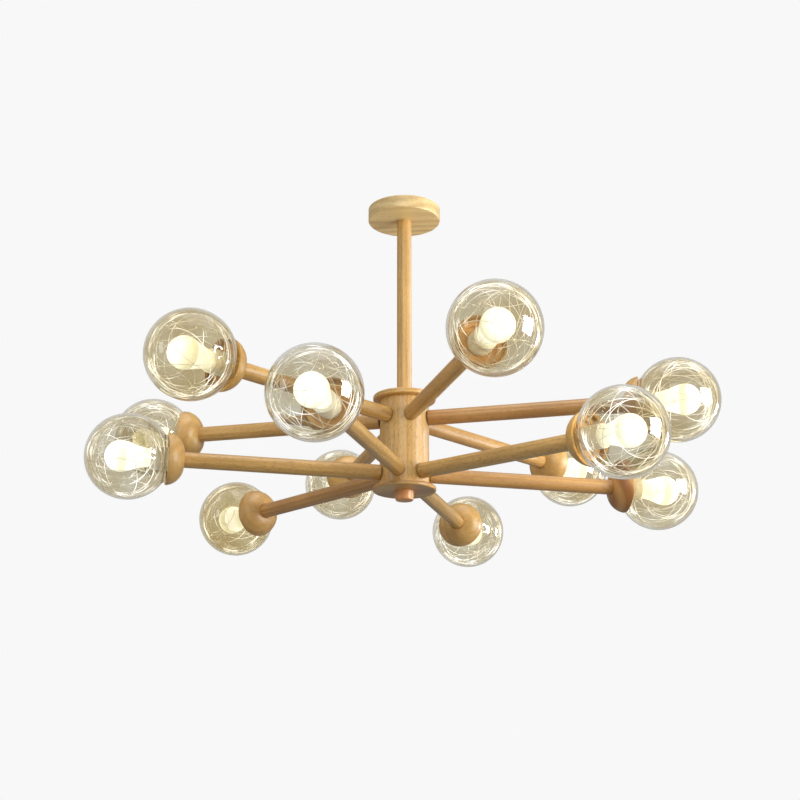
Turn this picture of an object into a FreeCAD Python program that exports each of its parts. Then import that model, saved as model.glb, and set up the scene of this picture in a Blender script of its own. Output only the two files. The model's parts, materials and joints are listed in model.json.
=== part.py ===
import FreeCAD, Part
import math
import os
import re
import Sketcher

# A ceiling light of turned wood: a round canopy, a straight stem and a drum-shaped hub, which carries
# two tiers of level arms. Each arm ends in a wooden cup with a lamp holder, a bulb and a clear globe,
# and a fine lit wire is wound inside each globe.
# The ceiling is the plane z = 0, +Z points up, and the stem's axis is x = y = 0. Lengths are in mm.

SIZES = (
    # canopy, a shallow bowl that stands with its rim on the ceiling
    ("canopy_dia", 137.0),
    ("canopy_height", 24.0),
    ("canopy_wall", 12.0),
    ("canopy_floor", 8.0),
    ("canopy_round", 2.5),
    # dropped steel bar that is screwed to the ceiling inside the canopy
    ("bracket_end_gap", 2.5),
    ("bracket_width", 22.0),
    ("bracket_thick", 1.5),
    ("bracket_foot", 26.0),
    ("slot_setback", 12.0),
    ("slot_length", 12.0),
    ("slot_width", 5.0),
    # connector block on the canopy's floor
    ("block_length", 36.0),
    ("block_width", 16.0),
    ("block_height", 10.0),
    ("block_setback", 19.0),
    ("block_hole_dia", 4.0),
    # stem, and the threaded tube that runs through it from the bracket to the knob
    ("stem_dia", 27.5),
    ("stem_length", 352.0),
    ("tube_dia", 13.0),
    ("tube_wall", 1.5),
    ("tube_gap", 0.2),
    ("tube_proud", 1.0),
    ("wire_slot_width", 6.0),
    ("wire_slot_length", 60.0),
    ("nut_across", 22.0),
    ("nut_height", 5.0),
    ("nut_gap", 0.5),
    # hub
    ("hub_dia", 90.0),
    ("hub_wall", 17.0),
    ("upper_tier_drop", 34.5),
    ("tier_spacing", 103.0),
    ("lower_tier_rise", 24.5),
    ("flange_dia", 115.0),
    ("flange_thick", 10.0),
    ("flange_round", 3.0),
    ("spigot_depth", 6.0),
    ("spigot_gap", 0.3),
    ("cover_thick", 8.5),
    ("cover_gap", 0.3),
    ("knob_top_dia", 35.5),
    ("knob_foot_dia", 32.5),
    ("knob_height", 16.5),
    ("knob_round", 2.0),
    ("knob_thread_depth", 10.0),
    ("knob_thread_gap", 0.1),
    # arms, counted from the front; angles are from +X, seen from above
    ("upper_first_angle", -74.0),
    ("lower_first_angle", -106.0),
    ("low_arm_sag", 3.0),
    ("globe_reach", 494.0),
    ("arm_dia", 28.0),
    ("arm_seat_gap", 0.1),
    ("arm_let_in", 5.0),
    ("arm_gap", 0.25),
    ("nipple_dia", 10.0),
    ("nipple_wall", 1.5),
    ("nipple_gap", 0.2),
    ("nipple_grip", 22.0),
    ("nipple_setback", 2.0),
    # cup
    ("cup_rim_dia", 92.4),
    ("cup_depth", 30.0),
    ("cup_curve", 33.4),
    ("cup_lip", 4.4),
    ("cup_floor", 7.0),
    ("cup_hollow_dia", 64.0),
    # lamp holder and bulb
    ("holder_base_dia", 34.0),
    ("holder_dia", 41.0),
    ("holder_length", 46.0),
    ("holder_neck", 6.0),
    ("holder_flare", 4.0),
    ("holder_base", 18.5),
    ("holder_entry", 9.0),
    ("holder_wire_hole", 6.0),
    ("bulb_dia", 55.0),
    ("bulb_tip", 40.0),
    ("bulb_lead", 9.0),
    ("bulb_body_length", 21.0),
    ("bulb_ring_dia", 39.0),
    ("bulb_collar_dia", 30.0),
    ("bulb_cap_dia", 26.0),
    ("bulb_contact_dia", 9.0),
    ("bulb_contact_length", 3.0),
    ("bulb_cap_slope", 3.0),
    ("bulb_gap", 0.3),
    # globe
    ("globe_dia", 150.0),
    ("glass_wall", 2.5),
    ("neck_show", 4.1),
    ("neck_depth", 10.0),
    ("neck_gap", 0.3),
    # lit wire inside the globe
    ("wire_dia", 1.2),
    ("wire_wall_gap", 0.4),
    ("winding_step", 1.4),
    ("winding_tilt", 52.0),
    ("winding_tilt_swing", 6.0),
    ("winding_spread", 76.0),
    ("winding_spread_swing", 6.0),
    ("winding_precession", -151.0),
)

TIERS = ("upper", "lower")
ARMS_PER_TIER = 6
SAGGING_ARM = "lower_6"
WINDING_LOOPS = 12
# how often the winding's tilt and spread swing in one loop, and how far the second lags the first
TILT_SWINGS = 0.11
SPREAD_SWINGS = 0.17
SPREAD_LAG = 1.0
# the windings are turned about their arms by this much from one globe to the next, in degrees
WINDING_ROLL = 137.5

doc = FreeCAD.newDocument("globe_ceiling_light")
sheet = doc.addObject("Spreadsheet::Sheet", "sizes")
for row, (name, number) in enumerate(SIZES, start=1):
    sheet.set("A%d" % row, name)
    sheet.set("B%d" % row, str(number))
    sheet.setAlias("B%d" % row, name)
doc.recompute()

X_AXIS = FreeCAD.Vector(1, 0, 0)
Y_AXIS = FreeCAD.Vector(0, 1, 0)
Z_AXIS = FreeCAD.Vector(0, 0, 1)


def bound(formula):
    """The formula with each named size read from the sheet. Every size has an underscore in its name."""
    return re.sub(r"\b[a-z]\w*_\w+\b", r"sizes.\g<0>", formula)


def value(formula):
    """What a formula comes to with the sizes in the sheet."""
    return float(sheet.evalExpression(bound(formula)))


def origin_plane(body, role):
    """One of a body's own three planes."""
    return [feature for feature in body.Origin.OriginFeatures if feature.Role == role][0]


def new_sketch(body, role, name):
    """An empty sketch on one of a body's own planes."""
    sketch = body.newObject("Sketcher::SketchObject", name)
    sketch.AttachmentSupport = [(origin_plane(body, role), "")]
    sketch.MapMode = "FlatFace"
    return sketch


def dimension(sketch, kind, where, formula):
    """A dimension that follows the sheet. A coordinate of 0 puts the point on the axis instead."""
    if formula == "0":
        axis = -2 if kind == "DistanceX" else -1
        sketch.addConstraint(Sketcher.Constraint("PointOnObject", where[0], where[1], axis))
        return
    if kind == "Radius":
        rule = Sketcher.Constraint(kind, where[0], value(formula))
    else:
        rule = Sketcher.Constraint(kind, -1, 1, where[0], where[1], value(formula))
    index = sketch.addConstraint(rule)
    sketch.setExpression("Constraints[%d]" % index, bound(formula))


def draw_outline(sketch, outline):
    """A closed outline. A point is (x, y), reached by a straight line, or (x, y, arc radius, centre x,
    centre y), reached by an arc of less than half a circle."""
    spots = [FreeCAD.Vector(value(point[0]), value(point[1]), 0) for point in outline]
    ends = []
    for index, point in enumerate(outline):
        start = spots[index - 1]
        stop = spots[index]
        if len(point) == 2:
            number = sketch.addGeometry(Part.LineSegment(start, stop))
            ends.append((number, 1, 2))
            continue
        centre = FreeCAD.Vector(value(point[3]), value(point[4]), 0)
        circle = Part.Circle(centre, Z_AXIS, value(point[2]))
        runs_left = (start - centre).cross(stop - centre).z > 0
        first, last = (start, stop) if runs_left else (stop, start)
        angles = [math.atan2(spot.y - centre.y, spot.x - centre.x) for spot in (first, last)]
        number = sketch.addGeometry(Part.ArcOfCircle(circle, angles[0], angles[1]))
        ends.append((number, 1, 2) if runs_left else (number, 2, 1))
    for index, (number, begin, end) in enumerate(ends):
        following = ends[(index + 1) % len(ends)]
        sketch.addConstraint(Sketcher.Constraint("Coincident", number, end, following[0], following[1]))
    for (number, begin, end), point in zip(ends, outline):
        dimension(sketch, "DistanceX", (number, end), point[0])
        dimension(sketch, "DistanceY", (number, end), point[1])
        if len(point) > 2:
            dimension(sketch, "Radius", (number,), point[2])


def turned(label, outline, upright=False):
    """A turned piece. Its outline's points are (along, radius), about the X axis or, upright, about Z."""
    body = doc.addObject("PartDesign::Body", label)
    sketch = new_sketch(body, "XZ_Plane", label + "_outline")
    if upright:
        outline = [swapped(point) for point in outline]
    draw_outline(sketch, outline)
    solid = body.newObject("PartDesign::Revolution", label + "_turning")
    solid.Profile = sketch
    solid.ReferenceAxis = (sketch, ["V_Axis" if upright else "H_Axis"])
    solid.Angle = 360.0
    body.Tip = solid
    sketch.Visibility = False
    return body


def swapped(point):
    """An outline point with its along and radius exchanged."""
    if len(point) == 2:
        return (point[1], point[0])
    return (point[1], point[0], point[2], point[4], point[3])


def raise_to(piece, height):
    """Puts an upright piece's foot at a height that follows the sheet."""
    piece.setExpression("Placement.Base.z", bound(height))
    return piece


def placed_copies(label, pattern, places):
    """A group of separate copies of one piece."""
    links = []
    for name, place in places.items():
        link = doc.addObject("App::Link", label + "_" + name)
        link.LinkedObject = pattern
        link.Placement = place
        links.append(link)
    return grouped(label, links)


def grouped(label, members):
    """A group of separate solids under one name."""
    group = doc.addObject("Part::Compound", label)
    group.Links = members
    return group


def cut_from(label, base, tool):
    """One piece with another taken out of it."""
    piece = doc.addObject("Part::Cut", label)
    piece.Base = base
    piece.Tool = tool
    return piece


def arm_places():
    """A placement for each arm, with the hub's axis as its origin and X out along the arm."""
    places = {}
    for tier in TIERS:
        height = value(UPPER_TIER if tier == "upper" else LOWER_TIER)
        for number in range(ARMS_PER_TIER):
            name = "%s_%d" % (tier, number + 1)
            angle = value(tier + "_first_angle") - number * 360.0 / ARMS_PER_TIER
            dip = value("low_arm_sag") if name == SAGGING_ARM else 0.0
            turn = FreeCAD.Rotation(Z_AXIS, angle).multiply(FreeCAD.Rotation(Y_AXIS, dip))
            places[name] = FreeCAD.Placement(FreeCAD.Vector(0, 0, height), turn)
    return places


# heights, from the ceiling down
CANOPY_FOOT = "(-canopy_height)"
CANOPY_FLOOR_TOP = "(canopy_floor - canopy_height)"
STEM_FOOT = "(-canopy_height - stem_length)"
HUB_TOP = "(-canopy_height - stem_length - flange_thick)"
HUB_LENGTH = "(upper_tier_drop + tier_spacing + lower_tier_rise)"
UPPER_TIER = f"({HUB_TOP} - upper_tier_drop)"
LOWER_TIER = f"({UPPER_TIER} - tier_spacing)"
HUB_FOOT = f"({LOWER_TIER} - lower_tier_rise)"
COVER_FOOT = f"({HUB_FOOT} - cover_thick)"
KNOB_FOOT = f"({COVER_FOOT} - knob_height)"
BRACKET_DROP = "(canopy_height - canopy_floor - nut_height - nut_gap)"
BRACKET_LENGTH = "(canopy_dia - 2 * canopy_wall - 2 * bracket_end_gap)"
PLATE_TOP = f"(bracket_thick - {BRACKET_DROP})"
TUBE_TOP = f"({PLATE_TOP} + nut_height + tube_proud)"
TUBE_FOOT = f"({COVER_FOOT} - knob_thread_depth)"

# radii that more than one piece shares
TUBE_HOLE = "(tube_dia / 2 + tube_gap)"
COVER_HOLE = "(tube_dia / 2 + cover_gap)"
CAVITY = "(hub_dia / 2 - hub_wall)"
FLANGE_RIM = "(flange_dia / 2)"
FLANGE_FLAT = "(flange_dia / 2 - flange_round)"
NIPPLE_HOLE = "(nipple_dia / 2 + nipple_gap)"
ARM_SOCKET = "(arm_dia / 2 + arm_gap)"
CUP_RIM = "(cup_rim_dia / 2)"
CUP_MOUTH = "(cup_rim_dia / 2 - cup_lip)"
NECK_OUT = f"({CUP_MOUTH} - neck_gap)"
NECK_IN = f"({NECK_OUT} - glass_wall)"
GLOBE_OUT = "(globe_dia / 2)"
GLOBE_IN = "(globe_dia / 2 - glass_wall)"

# places along an arm, from the hub's axis outwards
NECK_START = f"(globe_reach - sqrt({GLOBE_OUT} ^ 2 - {NECK_OUT} ^ 2))"
NECK_START_IN = f"(globe_reach - sqrt({GLOBE_IN} ^ 2 - {NECK_IN} ^ 2))"
RIM = f"({NECK_START} - neck_show)"
NECK_END = f"({RIM} - neck_depth)"
POLE = f"({RIM} - cup_depth)"
ARM_END = f"({POLE} + arm_let_in)"
FLOOR = f"({ARM_END} + cup_floor)"
HOLDER_FRONT = f"({FLOOR} + holder_length)"
HOLDER_STOP = f"({FLOOR} + holder_base)"
TIP = "(globe_reach + bulb_tip)"
DOME_CENTRE = f"({TIP} - bulb_dia / 2)"
DOME_JOIN = f"({DOME_CENTRE} - bulb_lead)"


def canopy():
    """A shallow turned bowl with a hole for the tube."""
    rim = "(canopy_dia / 2)"
    flat = "(canopy_dia / 2 - canopy_round)"
    hollow = "(canopy_dia / 2 - canopy_wall)"
    body = turned("canopy", (
        ("0", TUBE_HOLE),
        ("0", flat),
        ("canopy_round", rim, "canopy_round", "canopy_round", flat),
        ("canopy_height", rim),
        ("canopy_height", hollow),
        ("canopy_floor", hollow),
        ("canopy_floor", TUBE_HOLE),
    ), upright=True)
    return raise_to(body, CANOPY_FOOT)


def mounting_bracket():
    """A strip with a foot at each end for a ceiling screw and a dropped middle that holds the tube."""
    body = doc.addObject("PartDesign::Body", "mounting_bracket")
    profile = new_sketch(body, "XZ_Plane", "bracket_profile")
    riser = "bracket_foot"
    far_riser = f"{BRACKET_LENGTH} - bracket_foot"
    under = f"{BRACKET_DROP} - bracket_thick"
    draw_outline(profile, (
        ("0", BRACKET_DROP),
        (riser, BRACKET_DROP),
        (riser, "bracket_thick"),
        (far_riser, "bracket_thick"),
        (far_riser, BRACKET_DROP),
        (BRACKET_LENGTH, BRACKET_DROP),
        (BRACKET_LENGTH, under),
        (f"{far_riser} + bracket_thick", under),
        (f"{far_riser} + bracket_thick", "0"),
        (f"{riser} - bracket_thick", "0"),
        (f"{riser} - bracket_thick", under),
        ("0", under),
    ))
    strip = body.newObject("PartDesign::Pad", "bracket_strip")
    strip.Profile = profile
    strip.setExpression("Length", bound("bracket_width"))
    strip.Reversed = True
    doc.recompute()
    holes = new_sketch(body, "XY_Plane", "bracket_holes")
    half_length = f"{BRACKET_LENGTH} / 2"
    middle = "bracket_width / 2"
    spot = FreeCAD.Vector(value(half_length), value(middle), 0)
    number = holes.addGeometry(Part.Circle(spot, Z_AXIS, value(TUBE_HOLE)))
    dimension(holes, "DistanceX", (number, 3), half_length)
    dimension(holes, "DistanceY", (number, 3), middle)
    dimension(holes, "Radius", (number,), TUBE_HOLE)
    near_side = f"{middle} - slot_width / 2"
    far_side = f"{middle} + slot_width / 2"
    half_run = "slot_length / 2 - slot_width / 2"
    for centre in ("slot_setback", f"{BRACKET_LENGTH} - slot_setback"):
        left = f"{centre} - ({half_run})"
        right = f"{centre} + {half_run}"
        draw_outline(holes, (
            (right, near_side),
            (f"{right} + slot_width / 2", middle, "slot_width / 2", right, middle),
            (right, far_side, "slot_width / 2", right, middle),
            (left, far_side),
            (f"{left} - slot_width / 2", middle, "slot_width / 2", left, middle),
            (left, near_side, "slot_width / 2", left, middle),
        ))
    drilling = body.newObject("PartDesign::Pocket", "bracket_drilling")
    drilling.Profile = holes
    drilling.Type = "ThroughAll"
    drilling.Reversed = True
    body.Tip = drilling
    body.setExpression("Placement.Base.x", bound(f"-{half_length}"))
    body.setExpression("Placement.Base.y", bound("-bracket_width / 2"))
    body.setExpression("Placement.Base.z", bound(f"-{BRACKET_DROP}"))
    return body


def terminal_block():
    """A connector block on the canopy's floor, with three wire holes from side to side."""
    block = doc.addObject("Part::Box", "block_blank")
    block.setExpression("Length", bound("block_length"))
    block.setExpression("Width", bound("block_width"))
    block.setExpression("Height", bound("block_height"))
    ways = 3
    holes = []
    for number in range(ways):
        hole = doc.addObject("Part::Cylinder", "block_hole_%d" % number)
        hole.setExpression("Radius", bound("block_hole_dia / 2"))
        hole.setExpression("Height", bound("block_width"))
        hole.Placement.Rotation = FreeCAD.Rotation(X_AXIS, -90)
        hole.setExpression("Placement.Base.x", bound("block_length * %d / %d" % (2 * number + 1, 2 * ways)))
        hole.setExpression("Placement.Base.z", bound("block_height / 2"))
        holes.append(hole)
    piece = cut_from("terminal_block", block, grouped("block_holes", holes))
    piece.setExpression("Placement.Base.x", bound("-block_length / 2"))
    piece.setExpression("Placement.Base.y", bound("block_setback"))
    return raise_to(piece, CANOPY_FLOOR_TOP)


def stem():
    """A dowel bored through its length."""
    body = turned("stem", (
        ("0", TUBE_HOLE),
        ("0", "stem_dia / 2"),
        ("stem_length", "stem_dia / 2"),
        ("stem_length", TUBE_HOLE),
    ), upright=True)
    return raise_to(body, STEM_FOOT)


def hanger_tube():
    """A steel tube from the bracket to the knob, slotted inside the hub so that the wires can leave it."""
    length = f"{TUBE_TOP} - {TUBE_FOOT}"
    bore = "tube_dia / 2 - tube_wall"
    tube = turned("tube_blank", (
        ("0", bore),
        ("0", "tube_dia / 2"),
        (length, "tube_dia / 2"),
        (length, bore),
    ), upright=True)
    slot_foot = f"({UPPER_TIER} + {LOWER_TIER} - wire_slot_length) / 2 - {TUBE_FOOT}"
    slot = doc.addObject("Part::Box", "wire_slot")
    slot.setExpression("Length", bound("tube_dia * 2"))
    slot.setExpression("Width", bound("wire_slot_width"))
    slot.setExpression("Height", bound("wire_slot_length"))
    slot.setExpression("Placement.Base.x", bound("-tube_dia"))
    slot.setExpression("Placement.Base.y", bound("-wire_slot_width / 2"))
    slot.setExpression("Placement.Base.z", bound(slot_foot))
    return raise_to(cut_from("hanger_tube", tube, slot), TUBE_FOOT)


def hub_top_flange():
    """A disc with a rounded rim, and a spigot that is glued into the top of the hub."""
    top = "spigot_depth + flange_thick"
    spigot = f"{CAVITY} - spigot_gap"
    low_round = "spigot_depth + flange_round"
    high_round = f"{top} - flange_round"
    body = turned("hub_top_flange", (
        ("0", TUBE_HOLE),
        ("0", spigot),
        ("spigot_depth", spigot),
        ("spigot_depth", FLANGE_FLAT),
        (low_round, FLANGE_RIM, "flange_round", low_round, FLANGE_FLAT),
        (high_round, FLANGE_RIM),
        (top, FLANGE_FLAT, "flange_round", high_round, FLANGE_FLAT),
        (top, TUBE_HOLE),
    ), upright=True)
    return raise_to(body, f"{HUB_TOP} - spigot_depth")


def hub_body(places):
    """A hollow drum with a hole for each arm's nipple."""
    drum = turned("hub_drum", (
        ("0", CAVITY),
        ("0", "hub_dia / 2"),
        (HUB_LENGTH, "hub_dia / 2"),
        (HUB_LENGTH, CAVITY),
    ), upright=True)
    raise_to(drum, HUB_FOOT)
    core = turned("nipple_hole", (
        (f"{CAVITY} / 2", "0"),
        (f"{CAVITY} / 2", NIPPLE_HOLE),
        ("hub_dia", NIPPLE_HOLE),
        ("hub_dia", "0"),
    ))
    return cut_from("hub_body", drum, placed_copies("nipple_holes", core, places))


def hub_bottom_cover():
    """A disc that closes the hub from below, with a spigot that centres it there."""
    spigot = f"{CAVITY} - cover_gap"
    high_round = "cover_thick - flange_round"
    body = turned("hub_bottom_cover", (
        ("0", COVER_HOLE),
        ("0", FLANGE_FLAT),
        ("flange_round", FLANGE_RIM, "flange_round", "flange_round", FLANGE_FLAT),
        (high_round, FLANGE_RIM),
        ("cover_thick", FLANGE_FLAT, "flange_round", high_round, FLANGE_FLAT),
        ("cover_thick", spigot),
        ("cover_thick + spigot_depth", spigot),
        ("cover_thick + spigot_depth", COVER_HOLE),
    ), upright=True)
    return raise_to(body, COVER_FOOT)


def finial_knob():
    """A round knob that screws onto the end of the tube and holds the cover up."""
    thread = "tube_dia / 2 + knob_thread_gap"
    stop = "knob_height - knob_thread_depth - tube_proud"
    foot = "knob_foot_dia / 2"
    body = turned("finial_knob", (
        ("0", "0"),
        ("0", f"{foot} - knob_round"),
        ("knob_round", foot, "knob_round", "knob_round", f"{foot} - knob_round"),
        ("knob_height", "knob_top_dia / 2"),
        ("knob_height", thread),
        (stop, thread),
        (stop, "0"),
    ), upright=True)
    return raise_to(body, KNOB_FOOT)


def hex_nut(label, foot):
    """A nut on the tube, with its lower face at a height that follows the sheet."""
    blank = doc.addObject("Part::Prism", label + "_blank")
    blank.Polygon = 6
    blank.setExpression("Circumradius", bound("nut_across / sqrt(3)"))
    blank.setExpression("Height", bound("nut_height"))
    hole = doc.addObject("Part::Cylinder", label + "_hole")
    hole.setExpression("Radius", bound(TUBE_HOLE))
    hole.setExpression("Height", bound("nut_height"))
    return raise_to(cut_from(label, blank, hole), foot)


def nipple(label, inner, outer):
    """A threaded tube along an arm's axis."""
    bore = "nipple_dia / 2 - nipple_wall"
    return turned(label, (
        (inner, bore),
        (inner, "nipple_dia / 2"),
        (outer, "nipple_dia / 2"),
        (outer, bore),
    ))


def nipples_and_nuts(places):
    """The threaded tubes that hold each arm to the hub and to its cup, and the nuts on the long tube."""
    at_hub = nipple("hub_nipple", f"{CAVITY} + nipple_setback", "hub_dia / 2 + nipple_grip")
    at_cup = nipple("cup_nipple", f"{ARM_END} - nipple_grip", f"{FLOOR} + holder_entry - nipple_setback")
    return grouped("nipples_and_nuts", [
        placed_copies("hub_nipples", at_hub, places),
        placed_copies("cup_nipples", at_cup, places),
        hex_nut("nut_over_bracket", PLATE_TOP),
        hex_nut("nut_under_bracket", f"{PLATE_TOP} - bracket_thick - nut_height"),
        hex_nut("nut_under_flange", f"{HUB_TOP} - spigot_depth - nut_height"),
    ])


def arm(name):
    """A bored dowel with square ends. One that hangs low stands off the hub by what its tilt needs."""
    sag = "low_arm_sag" if name == SAGGING_ARM else "0"
    start = f"hub_dia / 2 + arm_seat_gap + arm_dia / 2 * tan({sag})"
    return turned("arm_" + name, (
        (start, NIPPLE_HOLE),
        (start, "arm_dia / 2"),
        (ARM_END, "arm_dia / 2"),
        (ARM_END, NIPPLE_HOLE),
    ))


def lamp_cups(places):
    """Bowls with a round shoulder. The arm is let into the pole, and the mouth takes the globe's neck."""
    bend = f"({POLE} + cup_curve)"
    ring = f"({CUP_RIM} - sqrt(cup_curve ^ 2 - (cup_curve - cup_depth) ^ 2))"
    socket_edge = f"{bend} - sqrt(cup_curve ^ 2 - ({ARM_SOCKET} - {ring}) ^ 2)"
    shoulder = f"{NECK_END} - neck_gap"
    pattern = turned("lamp_cup", (
        (ARM_END, NIPPLE_HOLE),
        (ARM_END, ARM_SOCKET),
        (socket_edge, ARM_SOCKET),
        (RIM, CUP_RIM, "cup_curve", bend, ring),
        (RIM, CUP_MOUTH),
        (shoulder, CUP_MOUTH),
        (shoulder, "cup_hollow_dia / 2"),
        (FLOOR, "cup_hollow_dia / 2"),
        (FLOOR, NIPPLE_HOLE),
    ))
    return placed_copies("lamp_cups", pattern, places)


def lamp_holders(places):
    """Round holders that screw onto the cup's nipple and take the bulb's cap."""
    socket = "bulb_cap_dia / 2 + bulb_gap"
    entry = f"{FLOOR} + holder_entry"
    pattern = turned("lamp_holder", (
        (FLOOR, NIPPLE_HOLE),
        (FLOOR, "holder_base_dia / 2"),
        (f"{FLOOR} + holder_neck", "holder_base_dia / 2"),
        (f"{FLOOR} + holder_neck + holder_flare", "holder_dia / 2"),
        (HOLDER_FRONT, "holder_dia / 2"),
        (HOLDER_FRONT, socket),
        (HOLDER_STOP, socket),
        (HOLDER_STOP, "holder_wire_hole / 2"),
        (entry, "holder_wire_hole / 2"),
        (entry, NIPPLE_HOLE),
    ))
    return placed_copies("lamp_holders", pattern, places)


def bulb(name):
    """A round-headed bulb: contact, screw cap, tapered body and dome."""
    end = f"{HOLDER_STOP} + bulb_gap"
    cap_end = f"{end} + bulb_contact_length"
    collar = f"{HOLDER_FRONT} + bulb_gap"
    join_radius = "sqrt((bulb_dia / 2) ^ 2 - bulb_lead ^ 2)"
    return turned("bulb_" + name, (
        (end, "0"),
        (end, "bulb_contact_dia / 2"),
        (cap_end, "bulb_contact_dia / 2"),
        (f"{cap_end} + bulb_cap_slope", "bulb_cap_dia / 2"),
        (collar, "bulb_cap_dia / 2"),
        (collar, "bulb_collar_dia / 2"),
        (f"{collar} + bulb_body_length", "bulb_ring_dia / 2"),
        (DOME_JOIN, join_radius),
        (TIP, "0", "bulb_dia / 2", DOME_CENTRE, "0"),
    ))


def globe(name):
    """A blown glass ball with a short neck that slips into the cup."""
    return turned("globe_" + name, (
        (NECK_END, NECK_IN),
        (NECK_END, NECK_OUT),
        (NECK_START, NECK_OUT),
        (f"globe_reach + {GLOBE_OUT}", "0", GLOBE_OUT, "globe_reach", "0"),
        (f"globe_reach + {GLOBE_IN}", "0"),
        (NECK_START_IN, NECK_IN, GLOBE_IN, "globe_reach", "0"),
    ))


def winding_point(loop):
    """The wire's middle, at a number of loops from its start and from the globe's centre. Each loop is
    a circle on a slightly smaller ball than the last, and its plane leans and precesses as it goes."""
    turn = 2 * math.pi * loop
    around = math.radians(value("winding_precession")) * loop
    tilt_swing = value("winding_tilt_swing") * math.sin(TILT_SWINGS * turn)
    spread_swing = value("winding_spread_swing") * math.sin(SPREAD_SWINGS * turn + SPREAD_LAG)
    tilt = math.radians(value("winding_tilt") + tilt_swing)
    spread = math.radians(value("winding_spread") + spread_swing)
    ball = value(f"{GLOBE_IN} - wire_wall_gap - wire_dia / 2") - value("winding_step") * loop
    ahead = math.cos(spread)
    aside = math.sin(spread) * math.cos(turn)
    upward = math.sin(spread) * math.sin(turn)
    along = ahead * math.cos(tilt) - aside * math.sin(tilt)
    across = ahead * math.sin(tilt) + aside * math.cos(tilt)
    return FreeCAD.Vector(ball * along,
                          ball * (across * math.cos(around) - upward * math.sin(around)),
                          ball * (across * math.sin(around) + upward * math.cos(around)))


def winding_heading(loop):
    """The direction that the wire runs in."""
    small = 1e-4
    return (winding_point(loop + small) - winding_point(loop - small)).normalize()


def arc_by_tangents(start, corner, stop):
    """The arc that leaves start towards corner and arrives at stop from corner."""
    chord = (start + stop) * 0.5
    reach = (corner - start).Length
    half_turn = math.acos(min(1.0, (stop - start).Length / (2 * reach)))
    rise = reach / math.tan(half_turn) * (1 - math.cos(half_turn))
    middle = chord + (corner - chord).normalize() * rise
    return Part.Arc(start, middle, stop).toShape()


def biarc(start, start_heading, stop, stop_heading):
    """Two arcs that join two points smoothly, in the two given directions."""
    span = stop - start
    both = start_heading + stop_heading
    bend = 2 * (1 - start_heading.dot(stop_heading))
    lean = span.dot(both)
    reach = (math.sqrt(lean * lean + bend * span.dot(span)) - lean) / bend
    first_corner = start + start_heading * reach
    second_corner = stop - stop_heading * reach
    meeting = (first_corner + second_corner) * 0.5
    return [arc_by_tangents(start, first_corner, meeting), arc_by_tangents(meeting, second_corner, stop)]


def least_gap(points, wire, spacing):
    """The least distance between the wire's own turns, from points along its middle."""
    near = 4 * wire
    apart = int(10 * wire / spacing)
    cells = {}
    for index, point in enumerate(points):
        cell = (int(point.x // near), int(point.y // near), int(point.z // near))
        cells.setdefault(cell, []).append(index)
    least = near
    steps = (-1, 0, 1)
    for (column, line, level), members in cells.items():
        around = [(column + i, line + j, level + k) for i in steps for j in steps for k in steps]
        others = [index for cell in around for index in cells.get(cell, [])]
        for index in members:
            for other in others:
                if other - index > apart:
                    least = min(least, points[index].distanceToPoint(points[other]))
    return least - wire


def winding_shape():
    """One unbroken tube along the winding, with a short straight run at each end."""
    wire = value("wire_dia")
    steps = 4 * WINDING_LOOPS
    spots = [winding_point(step / 4) for step in range(steps + 1)]
    headings = [winding_heading(step / 4) for step in range(steps + 1)]
    arcs = []
    for step in range(steps):
        arcs += biarc(spots[step], headings[step], spots[step + 1], headings[step + 1])
    lead = spots[0] - headings[0] * wire
    tail = spots[-1] + headings[-1] * wire
    path = Part.Wire([Part.makeLine(lead, spots[0])] + arcs + [Part.makeLine(spots[-1], tail)])
    ring = Part.Wire(Part.Circle(lead, headings[0], wire / 2).toShape())
    sweep = Part.BRepOffsetAPI.MakePipeShell(path)
    sweep.add(ring)
    sweep.build()
    sweep.makeSolid()
    tube = sweep.shape()
    spacing = wire
    points = [point for arc in arcs for point in arc.discretize(Distance=spacing)]
    bends = [arc.Curve.Radius for arc in arcs]
    fill = tube.Volume / (path.Length * math.pi * wire * wire / 4)
    print("winding: length %.0f, least gap %.2f, tightest bend %.1f, volume over section times length %.4f"
          % (path.Length, least_gap(points, wire, spacing), min(bends), fill))
    return tube


def fairy_wires(places):
    """The same winding in every globe, turned a little further about the arm each time."""
    tube = winding_shape()
    centre = FreeCAD.Vector(value("globe_reach"), 0, 0)
    wires = []
    for number, (name, place) in enumerate(places.items()):
        wire = doc.addObject("Part::Feature", "fairy_wire_" + name)
        wire.Shape = tube.copy()
        roll = FreeCAD.Rotation(X_AXIS, WINDING_ROLL * number)
        wire.Placement = place.multiply(FreeCAD.Placement(centre, roll))
        wires.append(wire)
    return wires


def build():
    """Every sub-part of the light."""
    places = arm_places()
    pieces = [canopy(), mounting_bracket(), terminal_block(), stem(), hanger_tube(), hub_top_flange(),
              hub_body(places), hub_bottom_cover(), finial_knob(), nipples_and_nuts(places),
              lamp_cups(places), lamp_holders(places)]
    for name, place in places.items():
        for make in (arm, bulb, globe):
            piece = make(name)
            piece.Placement = place
            pieces.append(piece)
    return pieces + fairy_wires(places)


def check(pieces):
    """Stops if an object failed, or a sub-part has no sound solid."""
    for item in doc.Objects:
        if "Invalid" in item.State or "Error" in item.State:
            raise RuntimeError("%s failed: %s" % (item.Label, item.State))
    for piece in pieces:
        if piece.Shape.isNull() or not piece.Shape.isValid() or not piece.Shape.Solids:
            raise RuntimeError("%s has no sound solid" % piece.Label)


def write(pieces):
    """One file for each sub-part, named by its label."""
    os.makedirs("parts", exist_ok=True)
    for piece in pieces:
        piece.Shape.exportStep("parts/%s.step" % piece.Label)
        print("%s: %d solids, %.1f cm3" % (piece.Label, len(piece.Shape.Solids), piece.Shape.Volume / 1000))


sub_parts = build()
doc.recompute()
check(sub_parts)
write(sub_parts)
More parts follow.
